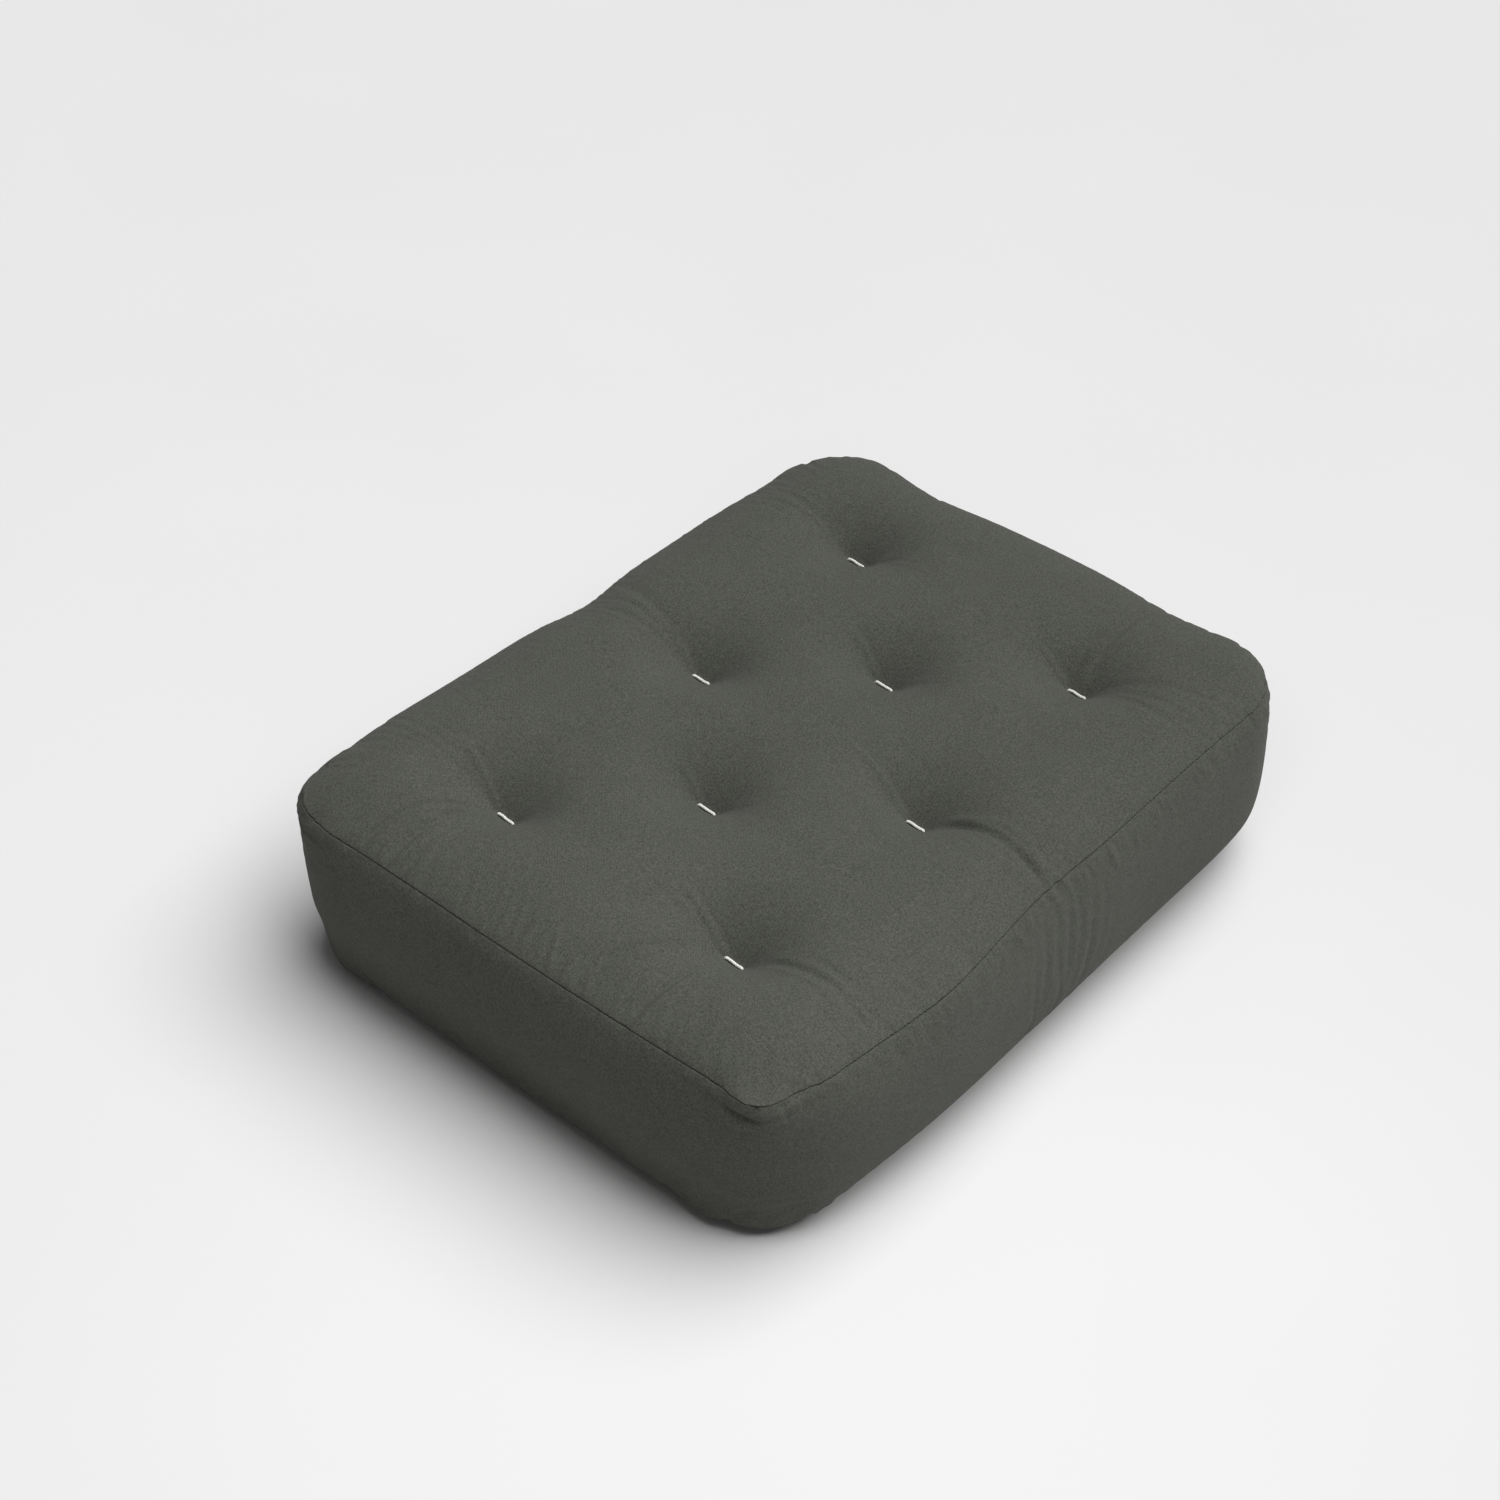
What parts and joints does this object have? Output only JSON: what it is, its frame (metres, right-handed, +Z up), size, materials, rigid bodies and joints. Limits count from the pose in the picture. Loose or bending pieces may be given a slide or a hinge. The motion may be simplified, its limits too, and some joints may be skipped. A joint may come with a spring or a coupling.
{
  "type": "futon mattress",
  "caption": "Small boxed futon mattress in charcoal cotton twill with rounded corners, tufted through its cotton and foam filling with white twine.",
  "frame": {"origin": "centre of the bottom face, at floor level", "axes": "+Z up from the face it rests on; Y along the length; X across the width"},
  "size_m": [0.5658, 0.7368, 0.188],
  "materials": {
    "cover_cloth": "matte charcoal cotton twill, fine heathered weave",
    "cotton_batting": "loose off-white cotton fibre felt",
    "foam": "open-cell polyurethane foam, cream",
    "seam_thread": "charcoal polyester sewing thread",
    "tuft_twine": "white waxed tufting twine, lightly twisted strands"
  },
  "bodies": {
    "root": {"cover_top_panel": "cover_cloth", "cover_bottom_panel": "cover_cloth", "cover_border": "cover_cloth", "lower_batting_1": "cotton_batting", "lower_batting_2": "cotton_batting", "foam_core_lower": "foam", "foam_core_middle": "foam", "foam_core_upper": "foam", "upper_batting_1": "cotton_batting", "upper_batting_2": "cotton_batting", "upper_batting_3": "cotton_batting", "top_seam_thread": "seam_thread", "bottom_seam_thread": "seam_thread", "closing_seam_thread": "seam_thread", "tuft_twine_1": "tuft_twine", "tuft_twine_2": "tuft_twine", "tuft_twine_3": "tuft_twine", "tuft_twine_4": "tuft_twine", "tuft_twine_5": "tuft_twine", "tuft_twine_6": "tuft_twine", "tuft_twine_7": "tuft_twine", "tuft_twine_8": "tuft_twine"}
  },
  "joints": []
}
